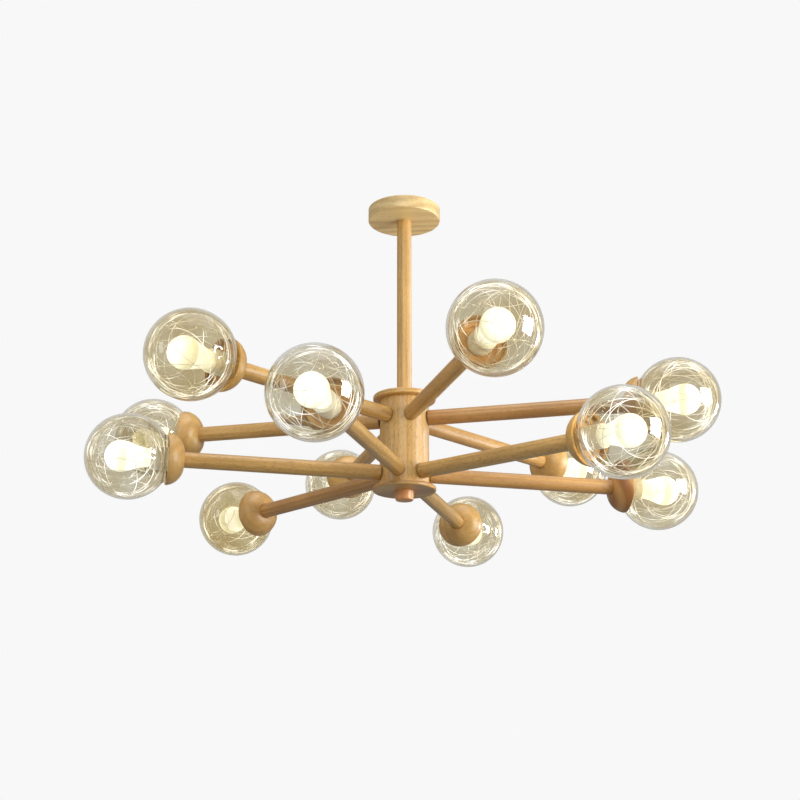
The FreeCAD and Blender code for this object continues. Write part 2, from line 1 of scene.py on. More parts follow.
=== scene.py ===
# %% [markdown]
# A wooden ceiling light with twelve glass globes.
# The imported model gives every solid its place, so this lesson starts by loading it and never moves it.
# What is added here is the look: wood grain, blown glass, lit bulbs, and the wire windings in the globes.

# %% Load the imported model
import json
import math

import bmesh
import bpy
from mathutils import Matrix, Vector, noise


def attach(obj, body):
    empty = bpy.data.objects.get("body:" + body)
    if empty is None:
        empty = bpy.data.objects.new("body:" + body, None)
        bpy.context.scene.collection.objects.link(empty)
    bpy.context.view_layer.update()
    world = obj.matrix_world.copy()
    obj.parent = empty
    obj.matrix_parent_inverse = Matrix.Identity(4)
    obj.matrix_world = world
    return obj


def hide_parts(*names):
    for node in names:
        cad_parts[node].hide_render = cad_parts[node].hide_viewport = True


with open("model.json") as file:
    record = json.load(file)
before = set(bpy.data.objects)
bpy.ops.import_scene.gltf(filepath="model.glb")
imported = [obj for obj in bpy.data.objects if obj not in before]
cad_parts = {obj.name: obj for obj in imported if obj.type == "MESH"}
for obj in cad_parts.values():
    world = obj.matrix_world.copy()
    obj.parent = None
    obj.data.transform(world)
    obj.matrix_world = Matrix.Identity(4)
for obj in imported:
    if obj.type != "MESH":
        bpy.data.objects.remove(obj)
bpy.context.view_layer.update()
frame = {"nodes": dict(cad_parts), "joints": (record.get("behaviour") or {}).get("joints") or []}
scene = bpy.context.scene

# %% [markdown]
# Each arm carries the same lamp: a cup, a holder, a bulb and a globe with its winding.
# One matrix per arm says where that lamp is. Its X axis runs out along the arm from the globe's centre,
# which is where the bulb turns, so both can be read from the joint of the bulb.

# %% Find the place of each lamp
ARM_NAMES = [f"{tier}_{number}" for tier in ("upper", "lower") for number in range(1, 7)]


def lamp_place(joint):
    """The matrix that takes a lamp drawn round the X axis to its place on its arm."""
    outward = Vector(joint["axis"])
    aside = Vector((0, 0, 1)).cross(outward).normalized()
    upward = outward.cross(aside)
    turned = Matrix((outward, aside, upward)).transposed()
    return Matrix.Translation(Vector(joint["pos_m"])) @ turned.to_4x4()


joint_of = {joint["name"]: joint for joint in frame["joints"]}
PLACES = {name: lamp_place(joint_of[f"bulb_{name}_turn"]) for name in ARM_NAMES}
print("lamps:", len(PLACES))

# %% [markdown]
# The photograph looks up at the light from a little below it. The camera's place and lens were found
# by fitting the twelve globes, so every globe lands where the photograph has it. No shift is needed.

# %% Camera
CAMERA_PLACE = Vector((-0.0081, -2.5265, -1.196))
CAMERA_LOOKS_UP = math.radians(17.846)
CAMERA_LENS_MM = 64.86
CAMERA_SENSOR_MM = 36.0

camera = bpy.data.objects.new("camera", bpy.data.cameras.new("camera"))
camera.location = CAMERA_PLACE
camera.rotation_euler = (math.pi / 2 + CAMERA_LOOKS_UP, 0, 0)
camera.data.lens = CAMERA_LENS_MM
camera.data.sensor_width = CAMERA_SENSOR_MM
scene.collection.objects.link(camera)
scene.camera = camera
print("camera lens:", camera.data.lens)

# %% [markdown]
# Materials are small node graphs. This helper makes one node, sets its options, and fills its inputs:
# a number or colour is typed in, and the output of another node is linked.

# %% Node helpers
MIX_FIRST, MIX_SECOND, MIX_RESULT = 6, 7, 2


def add(tree, kind, inputs=None, **options):
    """A new shader node with its options set and its inputs filled or linked."""
    made = tree.nodes.new("ShaderNode" + kind)
    for name, value in options.items():
        setattr(made, name, value)
    for name, value in (inputs or {}).items():
        if isinstance(value, bpy.types.NodeSocket):
            tree.links.new(value, made.inputs[name])
        else:
            made.inputs[name].default_value = value
    return made


def ramp(tree, factor, *stops):
    """A colour ramp through (position, colour) stops."""
    made = add(tree, "ValToRGB", {"Fac": factor})
    while len(made.color_ramp.elements) < len(stops):
        made.color_ramp.elements.new(0.5)
    for element, (position, colour) in zip(made.color_ramp.elements, stops):
        element.position = position
        element.color = (*colour, 1.0)
    return made.outputs["Color"]


def blend_colours(tree, factor, first, second, way="MIX"):
    """Two colours mixed by a factor, in one of the Mix node's ways. The node has sockets of the same name
    for numbers, vectors and colours, so the ones for colours are found by their place."""
    made = add(tree, "Mix", {0: factor}, data_type="RGBA", blend_type=way)
    for place, colour in ((MIX_FIRST, first), (MIX_SECOND, second)):
        if isinstance(colour, bpy.types.NodeSocket):
            tree.links.new(colour, made.inputs[place])
        else:
            made.inputs[place].default_value = (*colour, 1.0)
    return made.outputs[MIX_RESULT]


def spread(tree, value, low, high):
    """A 0 to 1 pattern spread over another range."""
    return add(tree, "MapRange", {"Value": value, "To Min": low, "To Max": high}).outputs["Result"]


def new_finish(name):
    """An empty material with its tree, its Principled shader and its Object coordinates."""
    finish = bpy.data.materials.new(name)
    finish.use_nodes = True
    tree = finish.node_tree
    shader = tree.nodes["Principled BSDF"]
    return finish, tree, shader, add(tree, "TexCoord").outputs["Object"]


def stretched(tree, vector, scale):
    """A pattern's vector, scaled by a different number along each axis."""
    return add(tree, "VectorMath", {0: vector, 1: scale}, operation="MULTIPLY").outputs["Vector"]


print("node helpers ready")

# %% [markdown]
# The wood is pale and honey coloured, with fine straight grain under a satin lacquer.
# A solid pattern suits it better than a wrapped one, because turned wood shows the inside of the board.
# The pattern is drawn round a grain line along X, and a Mapping node lays that line along each piece:
# growth rings about a pith outside the piece, thin long fibres, and short dark flecks.
# Where an arm meets the hub, a thin dark band is blended in. It is painted shade, for the shadow in the gap
# between the arm's flat end and the round hub.

# %% Wood finish
BLOND = (0.88, 0.73, 0.40), (0.82, 0.65, 0.33), (0.62, 0.43, 0.18)
HONEY = (0.77, 0.50, 0.165), (0.70, 0.43, 0.125), (0.50, 0.28, 0.07)
RUSSET = (0.66, 0.37, 0.125), (0.56, 0.285, 0.085), (0.42, 0.19, 0.05)
CHERRY = (0.96, 0.44, 0.135), (0.86, 0.37, 0.105), (0.62, 0.25, 0.06)
FLECK = (0.42, 0.18, 0.035)
# The colour of the painted shade where an arm meets the hub.
SHADE = (0.13, 0.065, 0.025)
RING_SPACING = 0.0075
FIBRE_SIZE = Vector((0.05, 0.002, 0.002))
FLECK_SIZE = Vector((0.008, 0.002, 0.002))
PATCH_SIZE = Vector((0.11, 0.028, 0.028))
RING_PERIOD = math.pi / 10
RING_WANDER = {"Distortion": 2.6, "Detail": 2.0, "Detail Scale": 0.55, "Detail Roughness": 0.5}
PITH_LEAN = (0, 0.035, 0.02)
DRAWN_OUT_ALONG = (0.12, 1, 1)
THREAD_TONES = (0.34, (0.86, 0.79, 0.67)), (0.62, (1.07, 1.06, 1.04))
THREAD_SHARE = 0.75
CLOUD_TONES = (0.3, (0.84, 0.8, 0.74)), (0.7, (1.1, 1.1, 1.1))
CLOUD_SHARE = 0.7
FLECK_FROM, FLECK_FULL = 0.55, 0.68
# The width and darkness of the painted shade where an arm meets the hub.
SHADOW_GAP_WIDTH, SHADOW_GAP_DARKNESS = 0.0024, 0.8
SATIN = 0.36, 0.56
PORE_DEPTH = 0.5
GRAIN_RELIEF = {"Strength": 0.22, "Distance": 0.0004}
LACQUER = {"Coat Weight": 0.65, "Coat Roughness": 0.36, "Coat IOR": 1.65}


def per_metre(size):
    """How often a pattern of that size repeats in a metre, along each axis."""
    return Vector([1 / length for length in size])


def mixed(first, second, share):
    """A colour part of the way from one to another."""
    return tuple(Vector(first).lerp(Vector(second), share))


def toned(warmth):
    """The pale, middle and dark colour of a wood: blond at -1, honey at 0, russet at 1 and cherry at 2."""
    tones = (BLOND, HONEY, RUSSET, CHERRY)
    lower = min(int(warmth + 1), len(tones) - 2)
    return [mixed(near, far, warmth + 1 - lower) for near, far in zip(tones[lower], tones[lower + 1])]


def wood(name, place, warmth=0.0, flecks=0.5, pith=(0.045, 0.03), seed=0.0, figure=0.45,
         rings_at=RING_SPACING, shadow_gap_at=None):
    """Lacquered wood whose grain runs along the X axis of place. Figure is how dark its growth rings are.
    The last argument is where on that axis the piece meets the hub. A thin band of painted shade there
    stands for the shadow in the gap."""
    finish, tree, shader, here = new_finish(name)
    at = {"Vector": here, "Location": place.translation, "Rotation": place.to_euler()}
    board = add(tree, "Mapping", at, vector_type="TEXTURE").outputs["Vector"]
    lean = {"Vector": board, "Location": (seed, *pith), "Rotation": PITH_LEAN, "Scale": DRAWN_OUT_ALONG}
    sawn = add(tree, "Mapping", lean).outputs["Vector"]
    ring_inputs = {"Vector": sawn, "Scale": RING_PERIOD / rings_at, **RING_WANDER}
    rings = add(tree, "TexWave", ring_inputs, wave_type="RINGS", rings_direction="X").outputs["Fac"]
    moved = add(tree, "VectorMath", {0: board, 1: (seed, seed, 0)}, operation="ADD").outputs["Vector"]
    fine = {"Scale": 1.0, "Detail": 4.0, "Roughness": 0.62}
    fibres = add(tree, "TexNoise", {"Vector": stretched(tree, moved, per_metre(FIBRE_SIZE)), **fine})
    dashes = add(tree, "TexNoise", {"Vector": stretched(tree, moved, per_metre(FLECK_SIZE)),
                                    "Scale": 1.0, "Detail": 1.0})
    patches = add(tree, "TexNoise", {"Vector": stretched(tree, moved, per_metre(PATCH_SIZE)),
                                     "Scale": 1.0, "Detail": 2.0})
    pale, middle, dark = toned(warmth)
    grown = ramp(tree, rings, (0.0, pale), (0.6, mixed(pale, middle, figure * 2)),
                 (1.0, mixed(pale, dark, figure)))
    thread = ramp(tree, fibres.outputs["Fac"], *THREAD_TONES)
    combed = blend_colours(tree, THREAD_SHARE, grown, thread, "MULTIPLY")
    cloud = ramp(tree, patches.outputs["Fac"], *CLOUD_TONES)
    clouded = blend_colours(tree, CLOUD_SHARE, combed, cloud, "MULTIPLY")
    marks = add(tree, "MapRange", {"Value": dashes.outputs["Fac"], "From Min": FLECK_FROM,
                                   "From Max": FLECK_FULL, "To Max": flecks}).outputs["Result"]
    colour = blend_colours(tree, marks, clouded, FLECK)
    # Painted shade: a thin dark band where the piece meets the hub, for the shadow in the gap there.
    if shadow_gap_at is not None:
        along_grain = add(tree, "SeparateXYZ", {0: board}).outputs["X"]
        edge = {"Value": along_grain, "From Min": shadow_gap_at + SHADOW_GAP_WIDTH / 2, "From Max": shadow_gap_at + SHADOW_GAP_WIDTH,
                "To Min": SHADOW_GAP_DARKNESS, "To Max": 0.0}
        colour = blend_colours(tree, add(tree, "MapRange", edge).outputs["Result"], colour, SHADE)
    tree.links.new(colour, shader.inputs["Base Color"])
    tree.links.new(spread(tree, fibres.outputs["Fac"], *SATIN), shader.inputs["Roughness"])
    pores = add(tree, "Math", {0: marks, 1: PORE_DEPTH}, operation="MULTIPLY").outputs[0]
    height = add(tree, "Math", {0: fibres.outputs["Fac"], 1: pores}, operation="SUBTRACT").outputs[0]
    bump = add(tree, "Bump", {"Height": height, **GRAIN_RELIEF})
    tree.links.new(bump.outputs["Normal"], shader.inputs["Normal"])
    for socket, value in LACQUER.items():
        shader.inputs[socket].default_value = value
    return finish


print("wood rings every", RING_SPACING, "m")

# %% [markdown]
# A CAD node whose shape is right keeps its mesh and only gets a finish.
# The stem and the hub are turned with the grain upright, and the three flat discs are cut from boards,
# so their grain lies level. The knob is a redder wood than the rest.

# %% Wood on the middle of the light
def along(direction, at=(0, 0, 0)):
    """A place whose X axis, the grain, follows a direction."""
    grain = Vector(direction).normalized()
    return Matrix.Translation(Vector(at)) @ grain.to_track_quat("X", "Z").to_matrix().to_4x4()


def dress(node, finish):
    """Gives a CAD node its finish, in every slot that it has."""
    mesh = frame["nodes"][node].data
    mesh.materials.clear()
    mesh.materials.append(finish)


UPRIGHT = along((0, 0, 1))
dress("stem", wood("wood_stem", UPRIGHT, warmth=0.1, flecks=0.35, seed=1.3))
dress("hub_body", wood("wood_hub", UPRIGHT, warmth=0.0, flecks=0.6, pith=(0.02, 0.07), seed=2.1, figure=0.3))
dress("canopy", wood("wood_canopy", along((1, -0.12, 0.03), (0, 0, -0.05)), warmth=-0.75, seed=3.7,
                     flecks=0.25, pith=(0.03, 0.02), figure=0.6, rings_at=0.016))
dress("hub_top_flange", wood("wood_flange", along((1, 0.3, 0.02)), warmth=0.12, seed=4.9))
dress("hub_bottom_cover", wood("wood_cover", along((1, -0.25, 0.02)), warmth=0.4, seed=5.6, figure=0.8))
dress("finial_knob", wood("wood_knob", along((0.2, 1, 0.3)), warmth=2.0, flecks=0.2, seed=6.2, figure=0.2))
print("wood on the middle: 6 nodes")

# %% [markdown]
# No two arms are cut from the same stick. Their tone runs from a light honey to russet,
# and each one has its own seed, so that its grain starts somewhere else in the pattern.
# The band of painted shade at the hub end is measured from the lowest place of the arm's own mesh along its
# axis.

# %% Wood on the arms
ARM_WARMTH = {"upper_1": 0.35, "upper_2": 0.1, "upper_3": 0.25,
              "upper_4": 0.3, "upper_5": 0.45, "upper_6": 0.85,
              "lower_1": 0.05, "lower_2": 0.1, "lower_3": 0.95,
              "lower_4": 0.1, "lower_5": 0.75, "lower_6": -0.1}
ARM_FLECKS = 0.55
ARM_SEED_STEP = 0.71
ARM_PITH, ARM_PITH_STEP = (0.03, 0.02), (0.007, 0.009)
for number, (name, place) in enumerate(PLACES.items()):
    pith = (ARM_PITH[0] + ARM_PITH_STEP[0] * (number % 4),
            ARM_PITH[1] + ARM_PITH_STEP[1] * (number % 3))
    arm_mesh = frame["nodes"][f"arm_{name}"].data
    hub_end = min((place.inverted() @ vert.co).x for vert in arm_mesh.vertices)
    dress(f"arm_{name}", wood(f"wood_arm_{name}", place, ARM_WARMTH[name], ARM_FLECKS, pith,
                              ARM_SEED_STEP * number, shadow_gap_at=hub_end))
print("wood on the arms:", len(PLACES))

# %% [markdown]
# The parts that nobody sees from the room still get a finish: a bright zinc plated bracket, tube and nuts,
# and the moulded block that joins the wires. Plated steel is a metal with faint streaks in its shine.

# %% Steel and moulded plastic
STEEL_SHINE = 0.22, 0.46
MOULD_CLOUD = {"Scale": 60.0, "Detail": 3.0}
MOULD_GRAIN = {"Scale": 2200.0, "Detail": 2.0}
MOULD_RELIEF = {"Strength": 0.12, "Distance": 0.0002}


def plated_steel(name, pale, dull, streak):
    """Bright plated steel, with streaks of a given size in its colour and shine."""
    finish, tree, shader, here = new_finish(name)
    pattern = {"Vector": stretched(tree, here, per_metre(streak)), "Scale": 1.0, "Detail": 5.0}
    brushed = add(tree, "TexNoise", pattern).outputs["Fac"]
    tree.links.new(ramp(tree, brushed, (0.3, dull), (0.7, pale)), shader.inputs["Base Color"])
    tree.links.new(spread(tree, brushed, *STEEL_SHINE), shader.inputs["Roughness"])
    shader.inputs["Metallic"].default_value = 1.0
    return finish


def moulded(name, pale, shaded, low, high):
    """Moulded plastic, with a faint cloud in its colour and a fine grain on its surface."""
    finish, tree, shader, here = new_finish(name)
    cloud = add(tree, "TexNoise", {"Vector": here, **MOULD_CLOUD}).outputs["Fac"]
    grain = add(tree, "TexNoise", {"Vector": here, **MOULD_GRAIN}).outputs["Fac"]
    tree.links.new(ramp(tree, cloud, (0.3, shaded), (0.7, pale)), shader.inputs["Base Color"])
    tree.links.new(spread(tree, cloud, low, high), shader.inputs["Roughness"])
    bump = add(tree, "Bump", {"Height": grain, **MOULD_RELIEF})
    tree.links.new(bump.outputs["Normal"], shader.inputs["Normal"])
    return finish


ZINC = plated_steel("zinc", (0.72, 0.73, 0.72), (0.5, 0.52, 0.53), Vector((0.02, 0.0008, 0.0008)))
BRASS = plated_steel("brass", (0.83, 0.62, 0.3), (0.62, 0.43, 0.18), Vector((0.004, 0.004, 0.004)))
BLOCK = moulded("block_plastic", (0.86, 0.84, 0.78), (0.78, 0.75, 0.68), 0.5, 0.65)
HOLDER = moulded("holder_plastic", (0.9, 0.89, 0.86), (0.82, 0.8, 0.75), 0.22, 0.36)
for node in ("mounting_bracket", "hanger_tube", "nipples_and_nuts"):
    dress(node, ZINC)
dress("terminal_block", BLOCK)
print("steel and plastic: 4 nodes")

# %% [markdown]
# Cups, holders, bulbs and globes are all turned shapes, so one helper makes them the way a lathe does.
# It draws half of the section in the XZ plane, x along the axis and z outwards, and spins it round X.
# A round stretch is a spin too: one vertex swept about the middle of its arc.

# %% Turning helpers
ROUND_STEPS = 72
FULL_TURN = 2 * math.pi
SAME_PLACE = 1e-5
EDGE_SEGMENTS = 3


def turn(outline, closed):
    """Spins an outline round X. A point is (x, radius),
    and an arc is (middle x, middle radius, degrees, steps)."""
    bm = bmesh.new()
    first = last = None
    for point in outline:
        if len(point) == 2:
            vert = bm.verts.new((point[0], 0, point[1]))
            if last:
                bm.edges.new((last, vert))
        else:
            middle = (point[0], 0, point[1])
            swept = bmesh.ops.spin(bm, geom=[last], cent=middle, axis=(0, 1, 0),
                                   angle=math.radians(point[2]), steps=point[3])
            vert = [part for part in swept["geom_last"] if isinstance(part, bmesh.types.BMVert)][0]
        first = first or vert
        last = vert
    if closed:
        bm.edges.new((last, first))
    bmesh.ops.spin(bm, geom=bm.verts[:] + bm.edges[:], cent=(0, 0, 0), axis=(1, 0, 0),
                   angle=FULL_TURN, steps=ROUND_STEPS, use_merge=True)
    bmesh.ops.remove_doubles(bm, verts=bm.verts, dist=SAME_PLACE)
    bmesh.ops.recalc_face_normals(bm, faces=bm.faces)
    return bm


def soften(bm, width, sharper_than, where=lambda x: True):
    """Rounds the ring edges that are sharper than an angle in degrees, where x is as asked."""
    limit = math.radians(sharper_than)
    edges = [edge for edge in bm.edges if edge.calc_face_angle(0) > limit
             and where(edge.verts[0].co.x)]
    bmesh.ops.bevel(bm, geom=edges, offset=width, offset_type="OFFSET", segments=EDGE_SEGMENTS,
                    profile=0.5, affect="EDGES", material=-1, clamp_overlap=True)
    bmesh.ops.recalc_face_normals(bm, faces=bm.faces)


def piece(name, bm, place, finishes, body, stands_for, crease=35):
    """Puts a bmesh in its place as a smooth object that rides on a body and stands for a CAD node."""
    bm.transform(place)
    mesh = bpy.data.meshes.new(name)
    bm.to_mesh(mesh)
    bm.free()
    for finish in finishes:
        mesh.materials.append(finish)
    mesh.shade_smooth()
    mesh.set_sharp_from_angle(angle=math.radians(crease))
    made = bpy.data.objects.new(name, mesh)
    scene.collection.objects.link(made)
    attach(made, body)
    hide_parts(stands_for)
    return made


print("lathe steps:", ROUND_STEPS)

# %% [markdown]
# The globe is blown glass: a ball with a short neck that sits in the mouth of the cup.
# Its wall has two sides, because light bends at both, so the outline goes out round the ball,
# round the lip of the neck, and back along the inside. The lip is rounded, as by a flame.
# The glass is a little amber, and no two globes come out of the furnace with quite the same tint.

# %% Glass globes
BALL_RADIUS = 0.075
GLASS_WALL = 0.0025
NECK_RADIUS = 0.0415
NECK_END = -0.07657
LIP_ROUND = 0.0011
NECK_ROUND = 0.0022
BALL_STEPS = 60
PALE_GLASS = (0.675, 0.61, 0.455), (0.765, 0.74, 0.65)
AMBER_GLASS = (0.628, 0.519, 0.282), (0.711, 0.629, 0.403)
GLASS_IOR = 1.47
GLASS_CLOUD = {"Scale": 14.0, "Detail": 1.0}
WAVE_SIZE = {"Scale": 18.0, "Detail": 0.0}
GLASS_WAVES = {"Strength": 0.03, "Distance": 0.001}
AMBER_SHARE = {"lower_3": 0.6, "upper_2": 0.35, "lower_1": -0.2, "lower_6": -0.1}


def tinted_glass(name, amber):
    """Pale amber glass. Lamps shine through it as through a tinted film, which keeps shadows clear."""
    finish, tree, shader, here = new_finish(name)
    cloud = add(tree, "TexNoise", {"Vector": here, **GLASS_CLOUD}).outputs["Fac"]
    thick, thin = [mixed(pale, deep, amber) for pale, deep in zip(PALE_GLASS, AMBER_GLASS)]
    tint = ramp(tree, cloud, (0.34, thick), (0.66, thin))
    tree.links.new(tint, shader.inputs["Base Color"])
    shader.inputs["Roughness"].default_value = 0.0
    shader.inputs["IOR"].default_value = GLASS_IOR
    shader.inputs["Transmission Weight"].default_value = 1.0
    waves = add(tree, "TexNoise", {"Vector": here, **WAVE_SIZE}).outputs["Fac"]
    bump = add(tree, "Bump", {"Height": waves, **GLASS_WAVES})
    tree.links.new(bump.outputs["Normal"], shader.inputs["Normal"])
    film = add(tree, "BsdfTransparent", {"Color": tint})
    ray = add(tree, "LightPath").outputs["Is Shadow Ray"]
    both = add(tree, "MixShader", {0: ray, 1: shader.outputs[0], 2: film.outputs[0]})
    tree.links.new(both.outputs[0], tree.nodes["Material Output"].inputs["Surface"])
    return finish


def globe_outline():
    """Half the section of a globe, from the front of the outside round to the front of the inside."""
    inner_ball = BALL_RADIUS - GLASS_WALL
    inner_neck = NECK_RADIUS - GLASS_WALL
    outer_sweep = 180 - math.degrees(math.asin(NECK_RADIUS / BALL_RADIUS))
    inner_sweep = 180 - math.degrees(math.asin(inner_neck / inner_ball))
    inner_start = -math.sqrt(inner_ball ** 2 - inner_neck ** 2)
    return ((BALL_RADIUS, 0), (0, 0, -outer_sweep, BALL_STEPS), (NECK_END, NECK_RADIUS),
            (NECK_END, inner_neck), (inner_start, inner_neck), (0, 0, inner_sweep, BALL_STEPS))


for name, place in PLACES.items():
    glass = tinted_glass(f"globe_glass_{name}", AMBER_SHARE.get(name, 0.0))
    shell = turn(globe_outline(), closed=False)
    soften(shell, LIP_ROUND, sharper_than=60, where=lambda x: x < NECK_END + LIP_ROUND)
    soften(shell, NECK_ROUND, sharper_than=20, where=lambda x: NECK_END + 2 * LIP_ROUND < x < 0)
    globe = piece(f"glass_globe_{name}", shell, place, [glass], f"globe_{name}",
                  f"globe_{name}")
print("globe faces:", len(globe.data.polygons))

# %% [markdown]
# Under each globe is a turned wooden cup. Its shoulder is one round sweep, the arm is let into its back,
# and its mouth has a step that the neck of the globe stands on. The rings of the wood run across the cup,
# because such cups are turned from short thick blanks, so the grain is laid crosswise and rolled
# differently. One cup is much darker and more boldly figured than the rest.

# %% Wooden cups
CUP_RIM = -0.06657
SHOULDER_ROUND = 0.0334
SHOULDER_MIDDLE = (-0.06317, 0.01297)
ARM_END = -0.09157
SOCKET_RADIUS = 0.01425
NIPPLE_RADIUS = 0.0052
MOUTH_RADIUS = 0.0418
STEP_DEPTH = -0.07687
HOLLOW_RADIUS = 0.032
CUP_FLOOR = -0.08457
CUP_EDGE = 0.0006
SHOULDER_STEPS = 24


def cup_outline():
    """Half the section of a cup, from the arm's socket round the shoulder to the mouth and the floor."""
    middle_x, middle_radius = SHOULDER_MIDDLE
    from_back = math.asin((SOCKET_RADIUS - middle_radius) / SHOULDER_ROUND)
    start = middle_x - SHOULDER_ROUND * math.cos(from_back)
    to_rim = math.asin((CUP_RIM - middle_x) / -SHOULDER_ROUND)
    sweep = 90 - math.degrees(to_rim) - math.degrees(from_back)
    return ((ARM_END, NIPPLE_RADIUS), (ARM_END, SOCKET_RADIUS), (start, SOCKET_RADIUS),
            (middle_x, middle_radius, sweep, SHOULDER_STEPS), (CUP_RIM, MOUTH_RADIUS),
            (STEP_DEPTH, MOUTH_RADIUS), (STEP_DEPTH, HOLLOW_RADIUS), (CUP_FLOOR, HOLLOW_RADIUS),
            (CUP_FLOOR, NIPPLE_RADIUS))


CUP_TONE, CUP_TONE_SHARE = 0.1, 0.3
CUP_WARMTH = {name: CUP_TONE + CUP_TONE_SHARE * ARM_WARMTH[name] for name in ARM_NAMES}
CUP_FIGURE, CUP_RINGS = 0.3, 0.011
CUP_FLECKS, CUP_SEED_STEP = 0.3, 0.37
CUP_PITH, CUP_PITH_STEP = (0.012, 0.02), 0.004
CUP_ROLL_STEP, CUP_CROSSWISE = 2.4, 1.25
# The dark cup: its bold figure is the wood's own, and part of its darkness is painted shade.
DARK_CUP, DARK_WARMTH, DARK_FIGURE, DARK_RINGS = "lower_5", 1.0, 1.2, 0.026
for number, (name, place) in enumerate(PLACES.items()):
    rolled = place @ Matrix.Rotation(CUP_ROLL_STEP * number, 4, "X")
    grain = rolled @ Matrix.Rotation(CUP_CROSSWISE, 4, "Z")
    pith = (CUP_PITH[0] + CUP_PITH_STEP * (number % 3), CUP_PITH[1])
    tone, figure, rings_at = CUP_WARMTH[name], CUP_FIGURE, CUP_RINGS
    if name == DARK_CUP:
        tone, figure, rings_at = DARK_WARMTH, DARK_FIGURE, DARK_RINGS
    turned_wood = wood(f"wood_cup_{name}", grain, tone, CUP_FLECKS, pith, CUP_SEED_STEP * number,
                       figure, rings_at)
    bowl = turn(cup_outline(), closed=True)
    soften(bowl, CUP_EDGE, sharper_than=50)
    cup = piece(f"wood_cup_{name}", bowl, place, [turned_wood], "frame", "lamp_cups")
print("cup faces:", len(cup.data.polygons))

# %% [markdown]
# In the cup stands the lamp holder, a white moulded sleeve that the bulb screws into.
# Its outside has the grip rings that such holders have, and a brass shell lines its bore.

# %% Lamp holders
HOLDER_BACK = CUP_FLOOR
HOLDER_FRONT = -0.03857
HOLDER_RADIUS = 0.0205
HOLDER_BASE_RADIUS = 0.017
HOLDER_FLARE_START = HOLDER_BACK + 0.006
HOLDER_FLARE_END = HOLDER_BACK + 0.010
HOLDER_BORE = 0.0138
HOLDER_FLOOR = HOLDER_BACK + 0.012
GRIP_RINGS = 5
GRIP_START = HOLDER_FLARE_END + 0.004
GRIP_STEP = 0.0036
GRIP_DEPTH = 0.0007
HOLDER_EDGE = 0.0008


def holder_outline():
    """Half the section of a holder, with its grip rings and its bore."""
    points = [(HOLDER_BACK, NIPPLE_RADIUS), (HOLDER_BACK, HOLDER_BASE_RADIUS),
              (HOLDER_FLARE_START, HOLDER_BASE_RADIUS), (HOLDER_FLARE_END, HOLDER_RADIUS)]
    for ring in range(GRIP_RINGS):
        ring_start = GRIP_START + ring * GRIP_STEP
        points += [(ring_start, HOLDER_RADIUS), (ring_start + GRIP_STEP / 4, HOLDER_RADIUS - GRIP_DEPTH),
                   (ring_start + GRIP_STEP / 2, HOLDER_RADIUS - GRIP_DEPTH),
                   (ring_start + GRIP_STEP * 3 / 4, HOLDER_RADIUS)]
    points += [(HOLDER_FRONT, HOLDER_RADIUS), (HOLDER_FRONT, HOLDER_BORE),
               (HOLDER_FLOOR, HOLDER_BORE), (HOLDER_FLOOR, NIPPLE_RADIUS)]
    return points


holders = bmesh.new()
for place in PLACES.values():
    sleeve = turn(holder_outline(), closed=True)
    soften(sleeve, HOLDER_EDGE, sharper_than=70)
    for face in sleeve.faces:
        middle = face.calc_center_median()
        in_bore = math.hypot(middle.y, middle.z) < HOLDER_BORE + HOLDER_EDGE / 4
        face.material_index = int(in_bore and middle.x > HOLDER_FLOOR - HOLDER_EDGE / 4)
    sleeve.transform(place)
    copy = bpy.data.meshes.new("sleeve")
    sleeve.to_mesh(copy)
    sleeve.free()
    holders.from_mesh(copy)
    bpy.data.meshes.remove(copy)
holder = piece("lamp_holder_sleeves", holders, Matrix.Identity(4), [HOLDER, BRASS], "frame",
               "lamp_holders")
print("holder faces:", len(holder.data.polygons))

# %% [markdown]
# The bulb is lit. It has a screw cap, a white body that widens forward, a thin ring line, and an opal dome.
# The light comes from the dome. The fainter glow on the body is painted light, for the light that the body
# catches from the dome.
# The dome sends most of its light forward, so its glow is strongest at the tip. That is drawn by a gradient
# along the bulb's own axis, which stays on the bulb from any side. Four bulbs burn a little brighter.

# %% Bulbs
CAP_BACK = -0.06577
CAP_RADIUS = 0.013
CONTACT_RADIUS = 0.0048
CONTACT_END = CAP_BACK + 0.001
INSULATOR_RADIUS = 0.0095
INSULATOR_END = CAP_BACK + 0.005
THREAD_START = CAP_BACK + 0.0068
THREADS = 5
THREAD_STEP = 0.0036
THREAD_DEPTH = 0.0009
COLLAR = (-0.03827, 0.015)
COLLAR_LENGTH, COLLAR_FLARE = 0.002, 0.0004
WAIST = (-0.01727, 0.0195)
DOME_JOIN = (0.0035, 0.02598)
DOME_MIDDLE = 0.0125
DOME_RADIUS = 0.0275
DOME_STEPS = 24
RING_LINE = 0.0005
OPAL_LIGHT = (0.1, (0.93, 1.0, 0.88)), (0.8, (0.98, 1.0, 1.1))
OPAL_PLASTIC = (0.3, (0.52, 0.51, 0.4)), (0.7, (0.58, 0.57, 0.47))
OPAL_ROUGHNESS = 0.35
OPAL_CLOUD = {"Scale": 70.0, "Detail": 2.0}
OPAL_UNEVEN = 0.85, 1.15
# On the body, which gives no light of its own, this glow is painted light.
BODY_PAINTED_GLOW = 0.9, 1.35
DOME_GLOW = 0.9, 2.2
BRIGHTER = {"upper_6": 1.5, "lower_5": 1.45, "lower_2": 1.3, "upper_3": 1.3}


